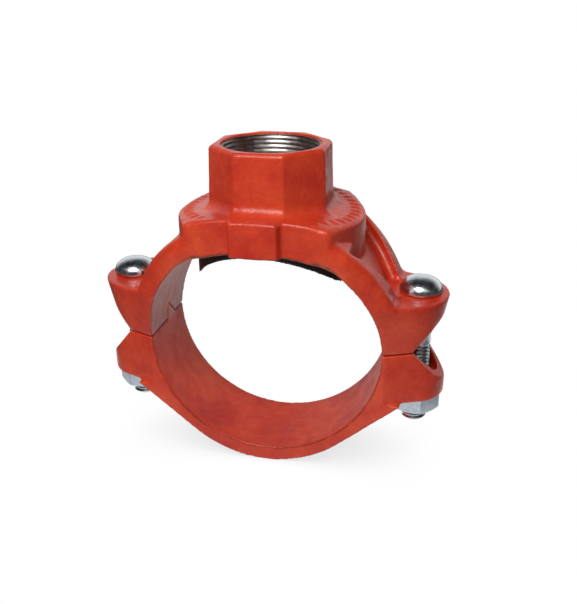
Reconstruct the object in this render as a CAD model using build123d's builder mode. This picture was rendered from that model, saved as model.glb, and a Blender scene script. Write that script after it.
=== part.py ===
"""Bolted mechanical tee: a 1 1/2 in female threaded branch clamped on a 4 in run pipe.

Frame: the origin is where the run pipe's axis crosses the branch axis. X runs from bolt to bolt,
Y along the run pipe and Z up the branch. Millimetres throughout, drawn with the bolt pads closed.
"""
import os
from math import cos, radians, sin, sqrt, tan

from build123d import *

# Run pipe and the opening that wraps it
pipe_diameter = 114.3
seat_clearance = 0.6
crown_drop = 6.05  # how far the crown is flattened towards the pipe
crown_radius = 105.0
crown_blend = 24.0

# Walls, all measured outwards from the round seat on the pipe
rib_height = 10.55
web_thickness = 4.65
drum_rise = 10.65
pocket_rise = 3.75
arm_wall = 8.55  # seat to bolt cavity
strap_thickness = 7.75  # at the very bottom
flank_thickness = 6.15
bolt_offset = 15.95  # seat to bolt axis

# Plan of the two castings, which narrow from the middle to the bolts
side_taper = 22.3  # degrees
side_draft = 10.9  # degrees by which the upper housing opens out towards the branch
upper_pad_radius = 24.9  # round end of the upper pad's top face
lower_pad_radius = 17.3
pad_overhang = 14.0  # bolt axis to the end of the pads
strap_half_depth = 23.3
rib_fillet = 5.0  # outer edges of the ribs, and their feet on the pads
web_mouth_half_width = 12.2  # at the outer end, beside the bolt head
web_end_inset = 12.7  # bolt axis to the outer end of the web
web_angle = 43.5  # degrees by which the web narrows
web_overlap = 3.5  # how far the web runs in under the drum
web_fillet = 3.0

# Gasket and its pocket
waterway_radius = 20.4
collar_wall = 6.05
gasket_width = 10.3
gasket_clearance = 0.15
gasket_lip_radius = 43.0  # saddle of the free lower lip
gasket_lip_drop = 1.5  # below the crown of the run opening
collar_drop = 3.5

# Drum round the gasket, its bulged front and back, and the cone of the pocket's wall
drum_wall = 8.4
drum_crown_radius = 175.0
drum_half_depth = 36.2
drum_flat_half_width = 34.0
drum_edge = 1.6
bulge_wall = 3.95
bulge_half_width = 11.0
bulge_draft = 14.0  # degrees
cone_wall = 4.45  # pocket to the cone that shows through the bulge, at its top
cone_draft = 3.6  # degrees
cone_top_drop = 4.2  # from the crest of the drum

# Octagonal outlet with a 1 1/2 in pipe thread
outlet_stand = 27.6  # height above the drum
outlet_wall = 3.6
outlet_draft = 1.6  # degrees
outlet_foot_fillet = 5.0
outlet_edge = 1.3
thread_major_radius = 23.9
thread_length = 22.0

# Bolt pads, each with an open notch and a cored cavity round the bolt
pad_top = 25.8
pad_bottom = 26.9
pad_plate = 7.0
notch_inset = 2.1  # bolt axis back to the foot of the notch
notch_angle = 49.5  # degrees from the parting faces
pad_wall = 3.8
cavity_fillet = 2.5
parting_gap = 0.4
tooth_half_width = 9.5
tooth_height = 9.0
tooth_round = 2.6
tooth_clearance = 0.5
flank_slope = 39.4  # degrees

# Track bolts and heavy hexagon nuts, 1/2 in by 13 threads to the inch, 2 3/4 in under the head
bolt_diameter = 12.7
thread_crest_diameter = 12.5
bolt_length = 69.85
bolt_thread_length = 42.5
bolt_end_chamfer = 1.0
head_diameter = 21.2
head_height = 7.8
head_rim = 1.2
head_crown_radius = 3.6  # flat top of the head
head_shoulder_radius = 7.8
head_shoulder_drop = 1.9
neck_length = 16.6
neck_depth = 5.5
neck_clearance = 0.3
bolt_hole_clearance = 0.9
nut_across_flats = 22.2
nut_height = 10.0
nut_chamfer = 1.9
nut_chamfer_angle = 30.0
nut_running_clearance = 0.05
nut_seat_clearance = 1.0
left_nut_turn = 14.0  # degrees
right_nut_turn = 47.0

# Sizes that follow from those above
seat_radius = pipe_diameter / 2 + seat_clearance
crown_height = seat_radius - crown_drop
rib_radius = seat_radius + rib_height
web_radius = seat_radius + web_thickness
drum_height = seat_radius + drum_rise
bolt_x = seat_radius + bolt_offset
pad_end = bolt_x + pad_overhang
cavity_inner_wall = seat_radius + arm_wall
half_gap = parting_gap / 2
upper_pad_centre = pad_end - upper_pad_radius
upper_pad_foot_radius = upper_pad_radius - pad_top * tan(radians(side_draft))
web_outer_end = bolt_x - web_end_inset
lower_pad_centre = pad_end - lower_pad_radius
collar_radius = waterway_radius + collar_wall
gasket_inner_radius = collar_radius + gasket_clearance
gasket_outer_radius = gasket_inner_radius + gasket_width
pocket_radius = gasket_outer_radius + gasket_clearance
pocket_ceiling_radius = seat_radius + pocket_rise
drum_radius = pocket_radius + drum_wall
web_inner_end = drum_radius - web_overlap
web_inner_half_width = web_mouth_half_width + (web_outer_end - web_inner_end) * tan(radians(web_angle))
bulge_half_depth = pocket_radius + bulge_wall
cone_radius = pocket_radius + cone_wall
cone_top = drum_height - cone_top_drop
outlet_height = drum_height + outlet_stand
outlet_half_flats = thread_major_radius + outlet_wall
bolt_radius = bolt_diameter / 2
nut_corner_radius = nut_across_flats / sqrt(3)
beyond = 4 * pad_end  # length of a cut that passes right through


def plan_outline(centre, radius, start=0.0):
    """Plan of a casting: round ends about +-centre, whose tangents taper out to the mid plane."""
    taper = radians(side_taper)
    touch = (centre + radius * sin(taper), radius * cos(taper))
    inner = (start, touch[1] + tan(taper) * (touch[0] - start))
    with BuildSketch() as outline:
        with BuildLine():
            Line(inner, touch)
            ThreePointArc(touch, (centre + radius, 0), (touch[0], -touch[1]))
            Line((touch[0], -touch[1]), (start, -inner[1]))
            if start > 0:
                Line((start, -inner[1]), inner)
            else:
                mirror(about=Plane.YZ)
        make_face()
    return outline.sketch


def pad_profile(level):
    """Front view of one bolt pad: level is its outer face, above or below the parting plane."""
    side = 1 if level > 0 else -1
    foot = bolt_x - notch_inset
    mouth = 2 * abs(level)
    with BuildSketch(Plane.XZ) as profile:
        Rectangle(pad_end, abs(level), align=(Align.MIN, Align.MIN if level > 0 else Align.MAX))
        with BuildLine():
            Polyline(
                (foot, 0),
                (foot + mouth / tan(radians(notch_angle)), side * mouth),
                (pad_end + beyond, side * mouth),
                (pad_end + beyond, 0),
                close=True,
            )
        make_face(mode=Mode.SUBTRACT)
    return profile.sketch


def run_opening():
    """Front view of the run opening: round at the arms and flattened over the crown."""
    arms = Vector(0, 0)
    crown = Vector(0, crown_height - crown_radius)
    from_arms = seat_radius - crown_blend
    from_crown = crown_radius - crown_blend
    blend_y = (from_arms**2 - from_crown**2 + crown.Y**2) / (2 * crown.Y)
    blend = Vector(sqrt(from_arms**2 - blend_y**2), blend_y)
    arm_touch = arms + (blend - arms).normalized() * seat_radius
    crown_touch = crown + (blend - crown).normalized() * crown_radius
    turn = (blend - arms).normalized() + (blend - crown).normalized()
    middle = blend + turn.normalized() * crown_blend
    with BuildSketch(Plane.XZ) as opening:
        with BuildLine():
            ThreePointArc((0, -seat_radius), (seat_radius, 0), arm_touch)
            ThreePointArc(arm_touch, middle, crown_touch)
            ThreePointArc(crown_touch, (0, crown_height), (-crown_touch.X, crown_touch.Y))
            left_arm_touch = (-arm_touch.X, arm_touch.Y)
            ThreePointArc((-crown_touch.X, crown_touch.Y), (-middle.X, middle.Y), left_arm_touch)
            ThreePointArc(left_arm_touch, (-seat_radius, 0), (0, -seat_radius))
        make_face()
    return opening.sketch


def tooth_profile(clearance):
    """Side view, in the plane across the bolts, of the tooth that stands on the lower parting face."""
    half = tooth_half_width + clearance
    crest = (0, tooth_height + clearance + tooth_round)
    foot = (half, -half_gap)
    with BuildSketch(Plane.YZ) as tooth:
        with BuildLine():
            Polyline((-half, -half_gap), (-half, 0), crest, (half, 0), foot, close=True)
        make_face()
        fillet(tooth.vertices().sort_by(Axis.Y)[-1], tooth_round + clearance)
    return tooth.sketch


def strap_profile():
    """Front view of the lower strap: a round belly and two straight flanks up to the pads."""
    slope = radians(flank_slope)
    bottom = seat_radius + strap_thickness
    flank = seat_radius + flank_thickness
    belly_radius = (flank - bottom * cos(slope)) / (1 - cos(slope))
    touch_x = belly_radius * sin(slope)
    touch_z = belly_radius - bottom - belly_radius * cos(slope)
    top_x = touch_x - (pad_bottom + touch_z) / tan(slope)
    with BuildSketch(Plane.XZ) as profile:
        with BuildLine():
            ThreePointArc((-touch_x, touch_z), (0, -bottom), (touch_x, touch_z))
            Line((touch_x, touch_z), (top_x, -pad_bottom))
            Line((top_x, -pad_bottom), (-top_x, -pad_bottom))
            Line((-top_x, -pad_bottom), (-touch_x, touch_z))
        make_face()
    return profile.sketch


# Bodies that shape the upper housing, each symmetric about the plane x = 0
with BuildPart() as flared_sides:
    # Drafted up to the pads' top faces, and upright from there
    with BuildSketch():
        add(plan_outline(upper_pad_centre, upper_pad_foot_radius))
    extrude(amount=pad_top, taper=-side_draft)
    with BuildSketch(Plane.XY.offset(pad_top)):
        add(plan_outline(upper_pad_centre, upper_pad_radius))
    extrude(amount=rib_radius)

with BuildPart() as arms:
    # Front view of the arms and pads, cut out of the flared sides
    with BuildSketch(Plane.XZ):
        Circle(rib_radius)
        add(pad_profile(pad_top))
        mirror(about=Plane.YZ)
        with Locations((0, half_gap)):
            Rectangle(beyond, beyond, align=(Align.CENTER, Align.MIN), mode=Mode.INTERSECT)
    extrude(amount=drum_half_depth, both=True)
    add(flared_sides.part, mode=Mode.INTERSECT)
    fillet(faces().filter_by(GeomType.CYLINDER).sort_by(Axis.Z)[-1].edges(), rib_fillet)

with BuildPart() as web_recess:
    with BuildSketch(Plane.XY.offset(pad_top)):
        with BuildLine():
            Polyline(
                (web_inner_end, -web_inner_half_width),
                (web_outer_end, -web_mouth_half_width),
                (rib_radius, -web_mouth_half_width),
                (rib_radius, web_mouth_half_width),
                (web_outer_end, web_mouth_half_width),
                (web_inner_end, web_inner_half_width),
                close=True,
            )
        make_face()
    extrude(amount=rib_radius)
    with BuildSketch(Plane.XZ):
        Circle(web_radius)
    extrude(amount=beyond, both=True, mode=Mode.SUBTRACT)
    floor_lines = edges().filter_by(Plane.XY).group_by(Axis.Z)[0]
    fillet(edges().filter_by(GeomType.ELLIPSE) + floor_lines, web_fillet)
    mirror(about=Plane.YZ)

with BuildPart() as upper_cavity:
    with BuildSketch():
        add(plan_outline(upper_pad_centre, upper_pad_foot_radius - pad_wall, cavity_inner_wall))
    extrude(amount=pad_top - pad_plate, taper=-side_draft)
    mirror(about=Plane.YZ)

with BuildPart() as drum:
    # Round wall of the gasket pocket, cut flat at the front and back
    with BuildSketch(Plane.XY.offset(pad_top)):
        Circle(drum_radius)
        Rectangle(2 * drum_flat_half_width, 2 * drum_half_depth)
        make_hull()
        Rectangle(beyond, 2 * drum_half_depth, mode=Mode.INTERSECT)
    extrude(amount=drum_height - pad_top)
    # The bulge through each flat face
    with BuildSketch(Plane.XY.offset(pad_top)):
        Trapezoid(
            2 * bulge_half_width + 2 * bulge_half_depth * tan(radians(bulge_draft)),
            bulge_half_depth,
            90 - bulge_draft,
            align=(Align.CENTER, Align.MIN),
        )
        mirror(about=Plane.XZ)
    extrude(amount=drum_height - pad_top)
    # Crowned top with a broken edge
    with BuildSketch(Plane.XZ):
        with Locations((0, drum_height - drum_crown_radius)):
            Circle(drum_crown_radius)
    extrude(amount=beyond, both=True, mode=Mode.INTERSECT)
    fillet(faces().sort_by(Axis.Z)[-1].edges(), drum_edge)

with BuildPart() as bulge_cone:
    with BuildSketch(Plane.XY.offset(cone_top)):
        Circle(cone_radius)
    extrude(amount=crown_height - cone_top, taper=-cone_draft)
    with BuildSketch():
        Rectangle(2 * bulge_half_width, beyond)
    extrude(amount=drum_height, mode=Mode.INTERSECT)

with BuildPart() as drum_and_outlet:
    add(drum.part)
    with BuildSketch(Plane.XY.offset(outlet_height)):
        RegularPolygon(outlet_half_flats, 8, major_radius=False, rotation=22.5)
    extrude(amount=web_radius - outlet_height, taper=-outlet_draft)
    fillet(edges(Select.NEW), outlet_foot_fillet)
    add(bulge_cone.part)

with BuildPart() as pocket:
    with BuildSketch():
        Circle(pocket_radius)
    extrude(amount=pocket_ceiling_radius)
    with BuildSketch(Plane.XZ):
        Circle(pocket_ceiling_radius)
    extrude(amount=beyond, both=True, mode=Mode.INTERSECT)

with BuildPart() as collar:
    # Follows the pipe below, and runs into the pocket's ceiling above
    with BuildSketch():
        Circle(collar_radius)
    extrude(amount=web_radius)
    with BuildSketch(Plane.XZ):
        Circle(crown_height - collar_drop)
    extrude(amount=beyond, both=True, mode=Mode.SUBTRACT)

with BuildPart() as teeth:
    with BuildSketch(Plane.YZ):
        add(tooth_profile(0))
    extrude(amount=cavity_inner_wall, both=True)
    with BuildSketch(Plane.XZ):
        Circle(seat_radius)
    extrude(amount=beyond, both=True, mode=Mode.SUBTRACT)

with BuildPart() as upper_housing:
    add(arms.part)
    add(web_recess.part, mode=Mode.SUBTRACT)
    add(drum_and_outlet.part)
    chamfer(faces().sort_by(Axis.Z)[-1].edges(), outlet_edge)
    # Run opening, and the gasket's pocket round a locating collar that follows the pipe
    with BuildSketch(Plane.XZ):
        add(run_opening())
    extrude(amount=beyond, both=True, mode=Mode.SUBTRACT)
    add(pocket.part, mode=Mode.SUBTRACT)
    add(collar.part)
    with BuildSketch():
        Circle(waterway_radius)
    extrude(amount=outlet_height, mode=Mode.SUBTRACT)
    with BuildSketch(Plane.XY.offset(outlet_height)):
        Circle(thread_major_radius)
    extrude(amount=-thread_length, mode=Mode.SUBTRACT)
    # Bolt cavities, oval bolt holes and the notch over the lower housing's tooth
    add(upper_cavity.part, mode=Mode.SUBTRACT)
    with BuildSketch(Plane.XY.offset(pad_top)):
        with Locations((-bolt_x, 0), (bolt_x, 0)):
            SlotOverall(neck_length + 2 * neck_clearance, bolt_diameter + 2 * neck_clearance)
    extrude(amount=-pad_plate - cavity_fillet, mode=Mode.SUBTRACT)
    with BuildSketch(Plane.YZ):
        add(tooth_profile(tooth_clearance))
    extrude(amount=beyond, both=True, mode=Mode.SUBTRACT)
upper_housing.part.label = "upper_housing"

with BuildPart() as lower_cavity:
    with BuildSketch(Plane.XY.offset(-half_gap)):
        add(plan_outline(lower_pad_centre, lower_pad_radius - pad_wall, cavity_inner_wall))
    extrude(amount=half_gap - pad_bottom + pad_plate)
    fillet(faces().sort_by(Axis.Z)[0].edges(), cavity_fillet)
    mirror(about=Plane.YZ)

with BuildPart() as lower_housing:
    # Bolt pads
    with BuildSketch(Plane.XZ):
        add(pad_profile(-pad_bottom))
        mirror(about=Plane.YZ)
    extrude(amount=strap_half_depth, both=True)
    with BuildSketch(Plane.XY.offset(-pad_bottom)):
        add(plan_outline(lower_pad_centre, lower_pad_radius))
    extrude(amount=pad_bottom - half_gap, mode=Mode.INTERSECT)
    # Strap with its straight flanks
    with BuildSketch(Plane.XZ):
        add(strap_profile())
    extrude(amount=strap_half_depth, both=True)
    with BuildSketch(Plane.XZ):
        Circle(seat_radius)
    extrude(amount=beyond, both=True, mode=Mode.SUBTRACT)
    # Round seats for the nuts, bolt cavities and holes, and the teeth that line the halves up
    with BuildSketch(Plane.XY.offset(-pad_bottom)):
        with Locations((-bolt_x, 0), (bolt_x, 0)):
            Circle(nut_corner_radius + nut_seat_clearance)
    extrude(amount=-nut_height, mode=Mode.SUBTRACT)
    add(lower_cavity.part, mode=Mode.SUBTRACT)
    with BuildSketch(Plane.XY.offset(-pad_bottom)):
        with Locations((-bolt_x, 0), (bolt_x, 0)):
            Circle(bolt_radius + bolt_hole_clearance)
    extrude(amount=pad_plate + cavity_fillet, mode=Mode.SUBTRACT)
    add(teeth.part)
lower_housing.part.label = "lower_housing"

with BuildPart() as gasket:
    with BuildSketch():
        Circle(gasket_outer_radius)
        Circle(gasket_inner_radius, mode=Mode.SUBTRACT)
    extrude(amount=pocket_ceiling_radius)
    with BuildSketch(Plane.XZ):
        Circle(pocket_ceiling_radius - gasket_clearance)
    extrude(amount=beyond, both=True, mode=Mode.INTERSECT)
    with BuildSketch(Plane.XZ):
        with Locations((0, crown_height - gasket_lip_drop - gasket_lip_radius)):
            Circle(gasket_lip_radius)
            with Locations((0, -gasket_lip_radius)):
                Rectangle(2 * gasket_lip_radius, 2 * gasket_lip_radius)
    extrude(amount=beyond, both=True, mode=Mode.SUBTRACT)
gasket.part.label = "gasket"


def track_bolt(x, label):
    """Domed head, oval neck that the upper pad keeps from turning, and a threaded shank."""
    rim = head_diameter / 2
    top = pad_top + head_height
    end = pad_top - bolt_length
    with BuildPart() as bolt:
        with BuildSketch(Plane.XZ):
            with BuildLine():
                Polyline(
                    (0, top),
                    (0, pad_top),
                    (rim, pad_top),
                    (rim, pad_top + head_rim),
                    (head_shoulder_radius, top - head_shoulder_drop),
                    (head_crown_radius, top),
                    close=True,
                )
            make_face()
        revolve(axis=Axis.Z)
        with BuildSketch(Plane.XY.offset(pad_top)):
            SlotOverall(neck_length, bolt_diameter)
        extrude(amount=-neck_depth)
        with BuildSketch(Plane.XY.offset(end)):
            Circle(thread_crest_diameter / 2)
        extrude(amount=bolt_thread_length)
        chamfer(faces().sort_by(Axis.Z)[0].edges(), bolt_end_chamfer)
        with BuildSketch(Plane.XY.offset(end + bolt_thread_length)):
            Circle(bolt_radius)
        extrude(amount=bolt_length - bolt_thread_length)
    bolt.part.label = label
    return Pos(x, 0, 0) * bolt.part


def heavy_nut(x, turn, label):
    """Hexagon nut under the lower pad, chamfered on its free face."""
    chamfer_drop = nut_chamfer * tan(radians(nut_chamfer_angle))
    with BuildPart() as nut:
        with BuildSketch(Plane.XY.offset(-pad_bottom)):
            RegularPolygon(nut_across_flats / 2, 6, major_radius=False, rotation=turn)
        extrude(amount=-nut_height)
        with BuildSketch(Plane.XZ):
            with BuildLine():
                Polyline(
                    (0, -pad_bottom),
                    (nut_corner_radius, -pad_bottom),
                    (nut_corner_radius, -pad_bottom - nut_height + chamfer_drop),
                    (nut_corner_radius - nut_chamfer, -pad_bottom - nut_height),
                    (0, -pad_bottom - nut_height),
                    close=True,
                )
            make_face()
        revolve(axis=Axis.Z, mode=Mode.INTERSECT)
        with BuildSketch(Plane.XY.offset(-pad_bottom)):
            Circle(thread_crest_diameter / 2 + nut_running_clearance)
        extrude(amount=-nut_height, mode=Mode.SUBTRACT)
    nut.part.label = label
    return Pos(x, 0, 0) * nut.part


os.makedirs("parts", exist_ok=True)
export_step(upper_housing.part, "parts/upper_housing.step")
export_step(lower_housing.part, "parts/lower_housing.step")
export_step(gasket.part, "parts/gasket.step")
export_step(track_bolt(-bolt_x, "left_bolt"), "parts/left_bolt.step")
export_step(track_bolt(bolt_x, "right_bolt"), "parts/right_bolt.step")
export_step(heavy_nut(-bolt_x, left_nut_turn, "left_nut"), "parts/left_nut.step")
export_step(heavy_nut(bolt_x, right_nut_turn, "right_nut"), "parts/right_nut.step")
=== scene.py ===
# %% [markdown]
# # A bolted mechanical tee
# This fitting taps a branch into a water main without cutting the main through. Two cast iron
# halves clamp round the pipe, a rubber gasket seals the hole under the branch, and two track
# bolts pull the halves together. The model is dressed on a fixed engineering frame. The
# castings, nuts and gasket are re-skinned from its meshes, and the bolts, the branch thread and
# the floor take their places from its boxes. Where the ribs and the drum's corners are in
# plan, the radius of the pipe seat, the thread sizes, the lamp and the camera are given as
# numbers.

# %% Load the frame
import math

import bpy
import bmesh
import numpy as np
from mathutils import Matrix, Vector, noise


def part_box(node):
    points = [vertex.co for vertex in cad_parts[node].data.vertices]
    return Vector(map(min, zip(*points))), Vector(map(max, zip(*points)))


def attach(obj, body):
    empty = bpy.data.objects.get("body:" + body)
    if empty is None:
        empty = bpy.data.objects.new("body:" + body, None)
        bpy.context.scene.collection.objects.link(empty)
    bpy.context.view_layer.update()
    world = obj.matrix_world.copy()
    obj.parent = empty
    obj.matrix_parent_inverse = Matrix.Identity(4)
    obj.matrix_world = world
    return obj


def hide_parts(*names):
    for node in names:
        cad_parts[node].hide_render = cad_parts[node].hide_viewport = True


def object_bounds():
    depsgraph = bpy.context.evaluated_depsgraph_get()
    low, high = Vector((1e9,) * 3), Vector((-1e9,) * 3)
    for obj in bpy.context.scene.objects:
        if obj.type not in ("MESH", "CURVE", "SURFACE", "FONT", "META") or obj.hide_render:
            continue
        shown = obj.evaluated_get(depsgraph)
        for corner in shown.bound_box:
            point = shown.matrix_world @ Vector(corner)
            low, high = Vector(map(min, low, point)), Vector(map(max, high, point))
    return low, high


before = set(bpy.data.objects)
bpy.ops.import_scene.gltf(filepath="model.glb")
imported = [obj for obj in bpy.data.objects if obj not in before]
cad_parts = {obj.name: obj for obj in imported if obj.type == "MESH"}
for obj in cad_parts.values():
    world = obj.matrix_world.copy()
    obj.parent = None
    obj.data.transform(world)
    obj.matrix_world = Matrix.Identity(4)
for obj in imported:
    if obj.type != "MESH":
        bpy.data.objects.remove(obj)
cad_low, cad_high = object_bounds()
MM = 0.001
print("size in mm:", [round(v / MM, 1) for v in (cad_high - cad_low)])

# %% [markdown]
# ## Helpers
# Colours are picked as sRGB hex values, as a paint maker would quote them, but Blender mixes
# light in linear values. One function does the change. A second one adds a shader node, sets
# its values and links its inputs, so that each material below reads as a list of steps. It
# works on anything that has a node tree, so it also builds the studio's world.


# %% Colour and node helpers
def paint(hex_colour):
    """Turns an sRGB hex colour into the linear RGBA that Blender's shaders use."""
    channels = [int(hex_colour[i : i + 2], 16) / 255 for i in (1, 3, 5)]
    linear = [c / 12.92 if c <= 0.04045 else ((c + 0.055) / 1.055) ** 2.4 for c in channels]
    return (*linear, 1.0)


def add_node(owner, kind, settings=None, values=None, links=None):
    """Adds one node: attributes, then socket values, then links from other nodes' outputs."""
    node = owner.node_tree.nodes.new(kind)
    for name, value in (settings or {}).items():
        setattr(node, name, value)
    for name, value in (values or {}).items():
        node.inputs[name].default_value = value
    for name, source in (links or {}).items():
        owner.node_tree.links.new(source, node.inputs[name])
    return node


def new_material(name):
    """Makes an empty node material."""
    material = bpy.data.materials.new(name)
    material.use_nodes = True
    material.node_tree.nodes.clear()
    print("material:", name)
    return material


def colour_ramp(owner, source, stops):
    """Maps a 0..1 value to colours: stops are (position, linear colour) pairs."""
    ramp = add_node(owner, "ShaderNodeValToRGB", links={"Fac": source})
    elements = ramp.color_ramp.elements
    while len(elements) < len(stops):
        elements.new(0.5)
    for element, (position, colour) in zip(elements, stops):
        element.position = position
        element.color = colour
    return ramp.outputs["Color"]


def noise_mm(owner, place, size_mm, detail=3.0, roughness=0.5):
    """Noise whose lumps are about size_mm across."""
    texture = add_node(
        owner,
        "ShaderNodeTexNoise",
        values={"Scale": 1 / (size_mm * MM), "Detail": detail, "Roughness": roughness},
        links={"Vector": place},
    )
    return texture.outputs["Fac"]


def ramped(owner, source, low, high, to_low, to_high):
    """Maps low..high to to_low..to_high, and stops at the ends."""
    node = add_node(
        owner,
        "ShaderNodeMapRange",
        values={"From Min": low, "From Max": high, "To Min": to_low, "To Max": to_high},
        links={"Value": source},
    )
    return node.outputs["Result"]


def maths(owner, operation, first, second):
    """One Math node: each operand is a number or another node's output."""
    node = add_node(owner, "ShaderNodeMath", settings={"operation": operation})
    for socket, operand in zip(node.inputs, (first, second)):
        if isinstance(operand, (int, float)):
            socket.default_value = operand
        else:
            owner.node_tree.links.new(operand, socket)
    return node.outputs["Value"]


def blended(owner, amount, under, over):
    """Lays one colour over another where amount is 1."""
    node = add_node(owner, "ShaderNodeMix", settings={"data_type": "RGBA"})
    for socket, value in ((node.inputs[0], amount), (node.inputs[6], under), (node.inputs[7], over)):
        if isinstance(value, (tuple, float)):
            socket.default_value = value
        else:
            owner.node_tree.links.new(value, socket)
    return node.outputs[2]


def bumped(owner, height, strength, depth_mm, normal=None):
    """Tilts the surface's normal by a height pattern depth_mm deep."""
    links = {"Height": height}
    if normal is not None:
        links["Normal"] = normal
    node = add_node(
        owner, "ShaderNodeBump", values={"Strength": strength, "Distance": depth_mm * MM}, links=links
    )
    return node.outputs["Normal"]


def principled(material, values, links):
    """Ends a material with one Principled shader."""
    shader = add_node(material, "ShaderNodeBsdfPrincipled", values=values, links=links)
    add_node(material, "ShaderNodeOutputMaterial", links={"Surface": shader.outputs["BSDF"]})


# %% [markdown]
# ## Enamel over cast iron
# The housings are sand-cast ductile iron, shot-blasted and dipped in orange-red enamel. The
# eye sees a semi-gloss coat that follows the sand's grain, slightly uneven in tone where the
# paint ran thicker. Outside corners are lightened as a painted highlight, and inside corners
# are darkened as painted shade. The upper half's curved seat gets pale grey upright streaks,
# partly dust and partly a painted sheen, and sharp rims are rubbed brown. All patterns use
# each object's own coordinates, so they move with the casting.

# %% Enamel
SEAT_MM = 57.75  # radius of the round seat for a 4 in pipe
enamel = new_material("orange_red_enamel_on_cast_iron")
coat = add_node(enamel, "ShaderNodeTexCoord")
coat_place = coat.outputs["Object"]
enamel_tone = colour_ramp(
    enamel,
    noise_mm(enamel, coat_place, 22, 6.0, 0.65),
    [(0.34, paint("#BC2A19")), (0.50, paint("#CE3B1F")), (0.66, paint("#DA4C27"))],
)
grain = noise_mm(enamel, coat_place, 1.6, 4.0, 0.7)
peel = noise_mm(enamel, coat_place, 5.0, 3.0)
coat_normal = bumped(enamel, peel, 0.6, 0.5, bumped(enamel, grain, 0.6, 0.3))
grained_tone = blended(enamel, ramped(enamel, grain, 0.50, 0.30, 0.0, 0.22), enamel_tone, paint("#8E1D14"))

# Where a point lies on the pipe seat: its distance from the run axis, and which way it faces.
across_run = add_node(
    enamel,
    "ShaderNodeVectorMath",
    settings={"operation": "MULTIPLY"},
    values={1: (1, 0, 1)},
    links={0: coat_place},
).outputs["Vector"]
run_distance = add_node(
    enamel, "ShaderNodeVectorMath", settings={"operation": "LENGTH"}, links={0: across_run}
).outputs["Value"]
outward = add_node(
    enamel, "ShaderNodeVectorMath", settings={"operation": "NORMALIZE"}, links={0: across_run}
).outputs["Vector"]
facing = add_node(
    enamel,
    "ShaderNodeVectorMath",
    settings={"operation": "DOT_PRODUCT"},
    links={0: outward, 1: coat.outputs["Normal"]},
).outputs["Value"]
near_seat = ramped(enamel, run_distance, (SEAT_MM + 0.5) * MM, (SEAT_MM + 1.5) * MM, 1.0, 0.0)
on_seat = maths(enamel, "MULTIPLY", near_seat, ramped(enamel, facing, -0.95, -0.7, 1.0, 0.0))
streaked = add_node(
    enamel,
    "ShaderNodeVectorMath",
    settings={"operation": "MULTIPLY"},
    values={1: (1, 1, 0.12)},
    links={0: coat_place},
).outputs["Vector"]
streaks = ramped(enamel, noise_mm(enamel, streaked, 3.5, 4.0, 0.6), 0.35, 0.62, 0.35, 0.85)
height = add_node(enamel, "ShaderNodeSeparateXYZ", links={0: coat_place}).outputs["Z"]
upper_seat = maths(enamel, "MULTIPLY", on_seat, ramped(enamel, height, -1.0 * MM, 1.0 * MM, 0.0, 1.0))
# Pale grey upright streaks on the upper seat: partly dust, partly a painted sheen standing in for light
# reflected at a glancing angle.
seat_dust_and_sheen = maths(enamel, "MULTIPLY", upper_seat, streaks)
rim = maths(enamel, "MULTIPLY", near_seat, ramped(enamel, facing, -0.9, -0.35, 0.0, 1.0))
rubbed = maths(enamel, "MULTIPLY", rim, ramped(enamel, facing, -0.3, -0.05, 1.0, 0.0))
rub_gaps = ramped(enamel, noise_mm(enamel, coat_place, 7, 3.0), 0.4, 0.55, 0.3, 0.9)
worn = maths(enamel, "MULTIPLY", rubbed, rub_gaps)
edges = add_node(enamel, "ShaderNodeNewGeometry").outputs["Pointiness"]
# Painted highlight: outside corners, where pointiness is high, are lightened towards #EE6A4C.
painted_edge_highlight_coat = blended(enamel, ramped(enamel, edges, 0.53, 0.66, 0.0, 0.40), grained_tone, paint("#EE6A4C"))
# Painted shade: inside corners, where pointiness is low, are darkened towards #8E1E16.
painted_crease_shade_coat = blended(enamel, ramped(enamel, edges, 0.43, 0.32, 0.0, 0.50), painted_edge_highlight_coat, paint("#8E1E16"))
# The seat streaks are laid over the coat as colour: partly dust, partly painted sheen.
coat_with_dust_and_sheen = blended(enamel, seat_dust_and_sheen, painted_crease_shade_coat, paint("#B29C98"))
coat_with_painted_light_and_wear = blended(enamel, worn, coat_with_dust_and_sheen, paint("#5A2C1C"))
coat_roughness = ramped(enamel, peel, 0.3, 0.7, 0.27, 0.40)
principled(
    enamel,
    {"IOR": 1.45},
    {
        "Base Color": coat_with_painted_light_and_wear,
        "Roughness": maths(enamel, "ADD", coat_roughness, maths(enamel, "MULTIPLY", on_seat, 0.2)),
        "Normal": coat_normal,
    },
)

# %% [markdown]
# ## Bare machined iron
# The branch's pipe thread is cut after painting, so it shows bright grey iron. Its tool marks
# are given as a fine mottle in tone and roughness.

# %% Machined iron
iron = new_material("machined_iron_thread")
iron_place = add_node(iron, "ShaderNodeTexCoord").outputs["Object"]
tool_marks = noise_mm(iron, iron_place, 3.0, 4.0, 0.6)
principled(
    iron,
    {"Metallic": 1.0},
    {
        "Base Color": colour_ramp(
            iron, tool_marks, [(0.3, paint("#77736F")), (0.55, paint("#96928E")), (0.75, paint("#AEABA8"))]
        ),
        "Roughness": ramped(iron, tool_marks, 0.3, 0.7, 0.32, 0.46),
    },
)

# %% [markdown]
# ## Zinc plate and rubber
# The bolts are bright zinc, which mirrors the room softly, and the nuts are a duller, bluer
# zinc. The gasket is moulded EPDM rubber: almost black, with a faint waxy sheen.


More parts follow.
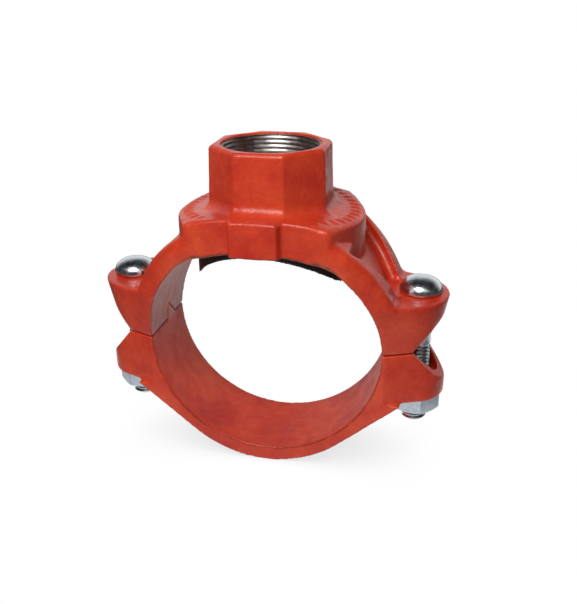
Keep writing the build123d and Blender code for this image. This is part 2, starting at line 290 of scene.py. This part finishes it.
# %% Zinc and rubber
def zinc(name, dark, light, roughness, lump_mm, dent_mm):
    """Zinc plate: a metal that varies a little in tone and roughness, and is gently dented."""
    material = new_material(name)
    place = add_node(material, "ShaderNodeTexCoord").outputs["Object"]
    crystals = noise_mm(material, place, lump_mm)
    principled(
        material,
        {"Metallic": 1.0},
        {
            "Base Color": colour_ramp(material, crystals, [(0.3, paint(dark)), (0.7, paint(light))]),
            "Roughness": ramped(material, crystals, 0.3, 0.7, roughness - 0.04, roughness + 0.05),
            "Normal": bumped(material, crystals, 0.5, dent_mm),
        },
    )
    return material


bright_zinc = zinc("bright_zinc_plate", "#BFC6CE", "#E2E7EC", 0.24, 2.6, 0.22)
dull_zinc = zinc("dull_blue_zinc_plate", "#A9B3BD", "#C6CFD7", 0.30, 2.0, 0.05)

rubber = new_material("moulded_epdm_rubber")
rubber_place = add_node(rubber, "ShaderNodeTexCoord").outputs["Object"]
bloom = noise_mm(rubber, rubber_place, 6, 4.0)
principled(
    rubber,
    {"Roughness": 0.5, "IOR": 1.5},
    {"Base Color": colour_ramp(rubber, bloom, [(0.3, paint("#0E0D0D")), (0.75, paint("#1B1A19"))])},
)

# %% [markdown]
# ## Cast and forged skins
# A sand casting has no knife edges: metal and paint round every corner by about a millimetre,
# and every inside corner has a small fillet. Remeshing the engineering solid into an even
# skin of small faces and then relaxing it gives exactly that. A very small, slow wave over
# the skin adds the unevenness of a sand mould. The nuts and the gasket get finer skins. The
# drum's upright corners are relaxed harder than the rest, so that they come out rounder.


# %% Skin helpers
def new_object(name, mesh, material):
    """Links a mesh to the scene as an object with one material."""
    obj = bpy.data.objects.new(name, mesh)
    bpy.context.scene.collection.objects.link(obj)
    mesh.materials.clear()
    mesh.materials.append(material)
    return obj


def apply_modifiers(obj):
    """Replaces the object's mesh by what its modifiers make of it."""
    graph = bpy.context.evaluated_depsgraph_get()
    finished = bpy.data.meshes.new_from_object(obj.evaluated_get(graph))
    obj.modifiers.clear()
    obj.data = finished


def mesh_from(name, shapes):
    """Builds one mesh in metres from (points, faces) shapes in mm, and welds what meets."""
    points, faces = [], []
    for shape_points, shape_faces in shapes:
        faces += [tuple(i + len(points) for i in face) for face in shape_faces]
        points += shape_points
    mesh = bpy.data.meshes.new(name)
    mesh.from_pydata([tuple(c * MM for c in p) for p in points], [], faces)
    work = bmesh.new()
    work.from_mesh(mesh)
    bmesh.ops.remove_doubles(work, verts=work.verts, dist=0.002 * MM)
    bmesh.ops.recalc_face_normals(work, faces=work.faces)
    work.to_mesh(mesh)
    work.free()
    return mesh


def world_copy(node):
    """A copy of a CAD node's mesh in the frame's coordinates."""
    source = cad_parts[node]
    mesh = source.data.copy()
    mesh.transform(source.matrix_world)
    return mesh


WAVE_LENGTH = 9.0  # mm from one swell of the skin to the next
CORNER_REACH, CORNER_FOOT = 9.0, 30.0  # mm round an upright edge, and mm above the run axis


def soften_near(skin, uprights):
    """Relaxes a skin strongly round upright edges, given as (x, y) places in mm."""
    group = skin.vertex_groups.new(name="soft_corners")
    for vertex in skin.data.vertices:
        if vertex.co.z > CORNER_FOOT * MM:
            gap = min(math.hypot(vertex.co.x / MM - x, vertex.co.y / MM - y) for x, y in uprights)
            if gap < CORNER_REACH:
                group.add([vertex.index], min(1.0, 2 - 2 * gap / CORNER_REACH), "REPLACE")
    smooth = skin.modifiers.new("soft_corners", "SMOOTH")
    smooth.factor = 0.5
    smooth.iterations = 60
    smooth.vertex_group = group.name
    apply_modifiers(skin)


def soft_skin(node, body, material, voxel_mm, relax, keep, wave_mm=0.0, extra=(), uprights=()):
    """Replaces a CAD node by a skin: remeshed, relaxed, gently uneven, then thinned out."""
    mesh = world_copy(node)
    if extra:
        work = bmesh.new()
        work.from_mesh(mesh)
        work.from_mesh(mesh_from(node + "_extra", extra))
        work.to_mesh(mesh)
        work.free()
    skin = new_object(node + "_skin", mesh, material)
    remesh = skin.modifiers.new("even_skin", "REMESH")
    remesh.mode = "VOXEL"
    remesh.voxel_size = voxel_mm * MM
    smooth = skin.modifiers.new("rounded_edges", "SMOOTH")
    smooth.factor = 0.5
    smooth.iterations = relax
    apply_modifiers(skin)
    if uprights:
        soften_near(skin, uprights)
    if wave_mm:
        count = len(skin.data.vertices)
        places, normals = np.empty(count * 3), np.empty(count * 3)
        skin.data.vertices.foreach_get("co", places)
        skin.data.vertices.foreach_get("normal", normals)
        places, normals = places.reshape(-1, 3), normals.reshape(-1, 3)
        lift = np.array([noise.noise(Vector(p) / (WAVE_LENGTH * MM)) for p in places])
        places += normals * (lift * wave_mm * MM)[:, None]
        skin.data.vertices.foreach_set("co", places.ravel())
    thin = skin.modifiers.new("thinned", "DECIMATE")
    thin.ratio = keep
    apply_modifiers(skin)
    skin.data.materials.clear()
    skin.data.materials.append(material)
    skin.data.shade_smooth()
    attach(skin, body)
    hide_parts(node)
    print(skin.name, "faces:", len(skin.data.polygons))


# %% [markdown]
# ## Low ribs round the rim
# The sloping ends of the drum carry a ring of low cast marks. They are kept plain: short
# ribs that point at the branch, each stood on the surface that a ray finds under it.


# %% Rim ribs
drum_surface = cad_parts["upper_housing"]
to_local = drum_surface.matrix_world.inverted()


def surface_height(x, y):
    """Height in mm of the upper housing's top surface above a point of the plan."""
    start = to_local @ (Vector((x, y, 200)) * MM)
    down = to_local.to_3x3() @ Vector((0, 0, -1))
    place = drum_surface.ray_cast(start, down)[1]
    return (drum_surface.matrix_world @ place).z / MM


def low_rib(angle, inner, outer, width, proud):
    """A radial bar whose ends follow the surface and stand proud of it by a little."""
    along = Vector((math.cos(angle), math.sin(angle), 0))
    side = Vector((-math.sin(angle), math.cos(angle), 0)) * width / 2
    points = []
    for reach in (inner, outer):
        foot = along * reach
        level = surface_height(foot.x, foot.y)
        for corner in (foot - side, foot + side):
            points.append((corner.x, corner.y, level - 1.5))
            points.append((corner.x, corner.y, level + proud))
    return points, [(0, 1, 3, 2), (4, 6, 7, 5), (0, 4, 5, 1), (2, 3, 7, 6), (0, 2, 6, 4), (1, 5, 7, 3)]


RIB_SPAN, RIB_COUNT = math.radians(48), 14  # to each side of the X axis, and at each end
RIB_INNER, RIB_OUTER, RIB_WIDTH, RIB_PROUD = 38.6, 42.8, 1.3, 0.7
rim_ribs = []
for end in (0, math.pi):
    for step in range(RIB_COUNT):
        turn = end - RIB_SPAN + 2 * RIB_SPAN * step / (RIB_COUNT - 1)
        rim_ribs.append(low_rib(turn, RIB_INNER, RIB_OUTER, RIB_WIDTH, RIB_PROUD))
print("rim ribs:", len(rim_ribs))

# %% [markdown]
# ## The re-skinned pieces
# The two castings share one recipe. The upper one also takes the ribs and the softer corners.

# %% Castings, nuts and gasket
CORNER_X, CORNER_Y = 34, 36.2
DRUM_CORNERS = [(x, y) for x in (-CORNER_X, CORNER_X) for y in (-CORNER_Y, CORNER_Y)]
soft_skin(
    "upper_housing", "upper_housing", enamel, 0.7, 3, 0.5, 0.12, rim_ribs, DRUM_CORNERS
)
soft_skin("lower_housing", "lower_housing", enamel, 0.7, 3, 0.5, 0.12)
soft_skin("gasket", "upper_housing", rubber, 0.6, 2, 0.5, 0.05)
soft_skin("left_nut", "left_nut", dull_zinc, 0.3, 2, 0.4, 0.02)
soft_skin("right_nut", "right_nut", dull_zinc, 0.3, 2, 0.4, 0.02)

# %% [markdown]
# ## Screw threads
# A thread is one ridge that climbs round a shaft. Its section is root, flank, crest, flank,
# and that section is carried round the helix step by step. The same function cuts the bolts'
# threads outside and the branch's taper thread inside.


# %% Thread helper
def thread_skin(crest, root, bottom, top, pitch, steps, axis, taper=0.0):
    """A helical thread as a shape in mm. Crest and root radii hold at the top end."""
    section = ((0.0, root), (0.12, root), (0.44, crest), (0.56, crest), (0.88, root), (1.0, root))
    turns = math.ceil((top - bottom) / pitch) + 1
    points, faces = [], []
    for step in range(turns * steps + 1):
        angle = 2 * math.pi * step / steps
        for phase, radius in section:
            height = min(max(bottom + (step / steps + phase - 1) * pitch, bottom), top)
            r = radius - taper * (top - height)
            points.append((axis[0] + r * math.cos(angle), axis[1] + r * math.sin(angle), height))
    wide = len(section)
    for step in range(turns * steps):
        for k in range(wide - 1):
            here = step * wide + k
            faces.append((here, here + wide, here + wide + 1, here + 1))
    return points, faces


# %% [markdown]
# ## The branch's thread
# A taper pipe thread for 1 1/2 in pipe has 11 1/2 ridges to the inch and narrows by 1 in 16.

# %% Branch thread
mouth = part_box("upper_housing")[1].z / MM
BRANCH_CREST, BRANCH_ROOT, BRANCH_PITCH = 22.95, 23.85, 25.4 / 11.5
BRANCH_DEPTH, BRANCH_INSET = 22.0, 1.0  # where the thread ends and starts, below the mouth
BRANCH_TAPER = 1 / 32  # the radius narrows by half of 1 in 16
branch_low, branch_high = mouth - BRANCH_DEPTH, mouth - BRANCH_INSET
branch_shape = thread_skin(
    BRANCH_CREST, BRANCH_ROOT, branch_low, branch_high, BRANCH_PITCH, 96, (0, 0), BRANCH_TAPER
)
outlet_thread = new_object("outlet_thread", mesh_from("outlet_thread", [branch_shape]), iron)
outlet_thread.data.shade_smooth()
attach(outlet_thread, "upper_housing")
print("outlet thread faces:", len(outlet_thread.data.polygons))

# %% [markdown]
# ## Track bolts
# The head is a rounded dome over a thin rim. It is round about its axis, so it is made by
# spinning half its outline. Under it an oval neck keeps the bolt from turning in the pad, and
# the shank ends in a 1/2 in thread with 13 ridges to the inch.


# %% Turned shapes
def turned(outline, steps, axis, stretch=0.0):
    """Spins (radius, height) points in mm round an axis; stretch pulls the ring into an oval."""
    points, faces = [], []
    for radius, height in outline:
        for step in range(steps):
            angle = 2 * math.pi * step / steps
            x = radius * math.cos(angle) + math.copysign(stretch, math.cos(angle))
            points.append((axis[0] + x, axis[1] + radius * math.sin(angle), height))
    for row in range(len(outline) - 1):
        for step in range(steps):
            after = (step + 1) % steps
            here = row * steps
            faces.append((here + step, here + after, here + steps + after, here + steps + step))
    return points, faces


# %% Bolts
SHANK, CREST, ROOT, PITCH = 6.35, 6.22, 5.2, 25.4 / 13
HEAD_HEIGHT, HEAD_RIM, NECK_DEPTH, NECK_STRETCH = 7.8, 1.2, 5.5, 1.95
HEAD_FULLNESS = 2.35  # 2 would be a plain oval dome; more is fuller at the shoulder
THREAD_LENGTH, TIP = 42.5, 1.0
HAIR = 0.001  # the radius at which a spun outline closes
for node in ("left_bolt", "right_bolt"):
    low, high = (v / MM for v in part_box(node))
    axis = ((low.x + high.x) / 2, (low.y + high.y) / 2)
    head = (high.x - low.x) / 2
    seat = high.z - HEAD_HEIGHT
    dome = HEAD_HEIGHT - HEAD_RIM
    outline = [(SHANK, seat), (head - 0.9, seat), (head - 0.35, seat + 0.3)]
    for k in range(33):
        share = math.cos(math.pi / 2 * k / 32)
        level = seat + HEAD_RIM + dome * math.sqrt(1 - share**HEAD_FULLNESS)
        outline.append((max(head * share, HAIR), level))
    thread_top = low.z + THREAD_LENGTH
    neck = [(HAIR, seat), (SHANK, seat), (SHANK, seat - NECK_DEPTH), (HAIR, seat - NECK_DEPTH)]
    tip = [(ROOT, low.z + TIP), (ROOT, low.z + TIP / 2), (ROOT - TIP / 2, low.z), (HAIR, low.z)]
    shapes = [
        turned(outline, 96, axis),
        turned(neck, 96, axis, NECK_STRETCH),
        turned([(SHANK, seat), (SHANK, thread_top + 0.6), (CREST, thread_top)], 96, axis),
        thread_skin(CREST, ROOT, low.z + TIP, thread_top, PITCH, 72, axis),
        turned(tip, 96, axis),
    ]
    bolt = new_object(node + "_turned", mesh_from(node, shapes), bright_zinc)
    bolt.data.shade_smooth()
    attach(bolt, "upper_housing")
    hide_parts(node)
    print(bolt.name, "faces:", len(bolt.data.polygons))

# %% [markdown]
# ## Floor
# A large pale floor simply runs out of view. To the camera it is white, with a painted contact
# shadow close to the object. Shiny surfaces see it as a white table top that ends a hand's
# breadth in front of the object and runs on behind it, with a dark room round it.

# %% Floor
floor_mesh = bpy.data.meshes.new("floor")
ground = cad_low.z - 0.02 * MM
REACH = 3.0  # metres each way
floor_mesh.from_pydata(
    [(-REACH, -REACH, ground), (REACH, -REACH, ground), (REACH, REACH, ground), (-REACH, REACH, ground)],
    [],
    [(0, 1, 2, 3)],
)
floor_paint = new_material("white_studio_floor")
# Painted shadow: the floor's own glow is darkened by ambient occlusion close to the object.
painted_contact_shadow = add_node(
    floor_paint, "ShaderNodeAmbientOcclusion", settings={"samples": 12}, values={"Distance": 90 * MM}
).outputs["AO"]
shown = add_node(
    floor_paint,
    "ShaderNodeEmission",
    links={"Color": colour_ramp(floor_paint, painted_contact_shadow, [(0.0, paint("#DAD9D9")), (0.70, paint("#FFFFFF"))])},
)
from_table = add_node(
    floor_paint,
    "ShaderNodeVectorMath",
    settings={"operation": "MULTIPLY_ADD"},
    values={1: (3.0, 1.0, 0.0), 2: (0.0, -0.4, 0.0)},
    links={0: add_node(floor_paint, "ShaderNodeTexCoord").outputs["Object"]},
).outputs["Vector"]
table_distance = add_node(
    floor_paint, "ShaderNodeVectorMath", settings={"operation": "LENGTH"}, links={0: from_table}
).outputs["Value"]
table_top = ramped(floor_paint, table_distance, 0.54, 0.64, 0.95, 0.08)
mirrored = add_node(floor_paint, "ShaderNodeEmission", links={"Strength": table_top})
plain = add_node(floor_paint, "ShaderNodeBsdfDiffuse", values={"Color": paint("#E8E8E8")})
floor_rays = add_node(floor_paint, "ShaderNodeLightPath").outputs
for_shine = add_node(
    floor_paint,
    "ShaderNodeMixShader",
    links={"Fac": floor_rays["Is Glossy Ray"], 1: plain.outputs["BSDF"], 2: mirrored.outputs["Emission"]},
)
for_camera = add_node(
    floor_paint,
    "ShaderNodeMixShader",
    links={
        "Fac": floor_rays["Is Camera Ray"],
        1: for_shine.outputs["Shader"],
        2: shown.outputs["Emission"],
    },
)
add_node(floor_paint, "ShaderNodeOutputMaterial", links={"Surface": for_camera.outputs["Shader"]})
floor = new_object("floor", floor_mesh, floor_paint)
print("floor at mm:", round(ground / MM, 2))

# %% [markdown]
# ## Room and lamps
# The camera sees a white room. Matt surfaces get light from its backdrop but little from the
# camera's side, so that the lamp models the form. Shiny surfaces see a white backdrop behind
# the object, a band of light high in front of it, and a dark room elsewhere. That gives enamel
# its pale sheen at a glancing angle and zinc its dark band.

# %% World
world = bpy.data.worlds.new("studio")
bpy.context.scene.world = world
world.use_nodes = True
world.node_tree.nodes.clear()
look = add_node(
    world, "ShaderNodeSeparateXYZ", links={0: add_node(world, "ShaderNodeTexCoord").outputs["Generated"]}
).outputs
behind = ramped(world, look["Y"], 0.25, 0.70, 0.04, 0.95)
backdrop = maths(world, "MULTIPLY", behind, ramped(world, look["Z"], 0.42, 0.72, 1.0, 0.08))
front_band = maths(
    world,
    "MULTIPLY",
    ramped(world, look["Y"], -0.40, -0.52, 0.0, 1.0),
    ramped(world, look["Z"], 0.50, 0.62, 0.0, 0.75),
)
room_light = maths(world, "MAXIMUM", backdrop, front_band)
room = add_node(world, "ShaderNodeBackground", links={"Strength": room_light})
dim = add_node(
    world, "ShaderNodeBackground", links={"Strength": ramped(world, look["Y"], -0.1, 0.7, 0.05, 0.42)}
)
white = add_node(world, "ShaderNodeBackground", values={"Strength": 1.0})
for shader in (room, dim, white):
    shader.inputs["Color"].default_value = (1, 1, 1, 1)
world_rays = add_node(world, "ShaderNodeLightPath").outputs
shine_or_matt = add_node(
    world,
    "ShaderNodeMixShader",
    links={"Fac": world_rays["Is Glossy Ray"], 1: dim.outputs["Background"], 2: room.outputs["Background"]},
)
camera_or_not = add_node(
    world,
    "ShaderNodeMixShader",
    links={
        "Fac": world_rays["Is Camera Ray"],
        1: shine_or_matt.outputs["Shader"],
        2: white.outputs["Background"],
    },
)
add_node(world, "ShaderNodeOutputWorld", links={"Surface": camera_or_not.outputs["Shader"]})
print("world nodes:", len(world.node_tree.nodes))

# %% [markdown]
# ## The lamp
# One soft box stands above and in front of the object, a little to its left. With a single
# lamp the tops come out bright and the flanks dark, which shows the form.


# %% Lamps
def soft_lamp(name, place_mm, aim_mm, size_mm, watts):
    """A square soft box that faces its aim point."""
    light = bpy.data.lights.new(name, "AREA")
    light.size = size_mm * MM
    light.energy = watts
    lamp = bpy.data.objects.new(name, light)
    lamp.location = Vector(place_mm) * MM
    aim = Vector(aim_mm) * MM - lamp.location
    lamp.rotation_euler = aim.to_track_quat("-Z", "Y").to_euler()
    bpy.context.scene.collection.objects.link(lamp)


soft_lamp("key_from_front", (-40, -460, 580), (0, 0, 30), 320, 4.6)
print("lamps:", [light.name for light in bpy.data.lights])

# %% [markdown]
# ## Camera
# The camera looks down on the front from a little to the right. Two angles give its axes, and
# a small roll then tilts them.

# %% Camera
azimuth, elevation, roll = (math.radians(v) for v in (11.93, 22.66, -0.46))
back = Vector(
    (math.sin(azimuth) * math.cos(elevation), -math.cos(azimuth) * math.cos(elevation), math.sin(elevation))
)
right = Vector((0, 0, 1)).cross(back).normalized()
up = back.cross(right)
right, up = math.cos(roll) * right + math.sin(roll) * up, math.cos(roll) * up - math.sin(roll) * right
camera_data = bpy.data.cameras.new("camera")
camera_data.sensor_width = 36
camera_data.lens = 46.65
camera_data.shift_x = -0.0032
camera_data.shift_y = -0.0089
camera_data.clip_start = 0.01
camera = bpy.data.objects.new("camera", camera_data)
aim_point = Vector((8.66, 0, 17.68)) * MM
DISTANCE = 396.84  # mm from the camera to the point it aims at
camera.matrix_world = Matrix.Translation(aim_point + back * DISTANCE * MM) @ Matrix(
    (right, up, back)
).transposed().to_4x4()
bpy.context.scene.collection.objects.link(camera)
bpy.context.scene.camera = camera
bpy.context.scene.view_settings.view_transform = "Standard"
print("camera lens in mm:", round(camera_data.lens, 2))
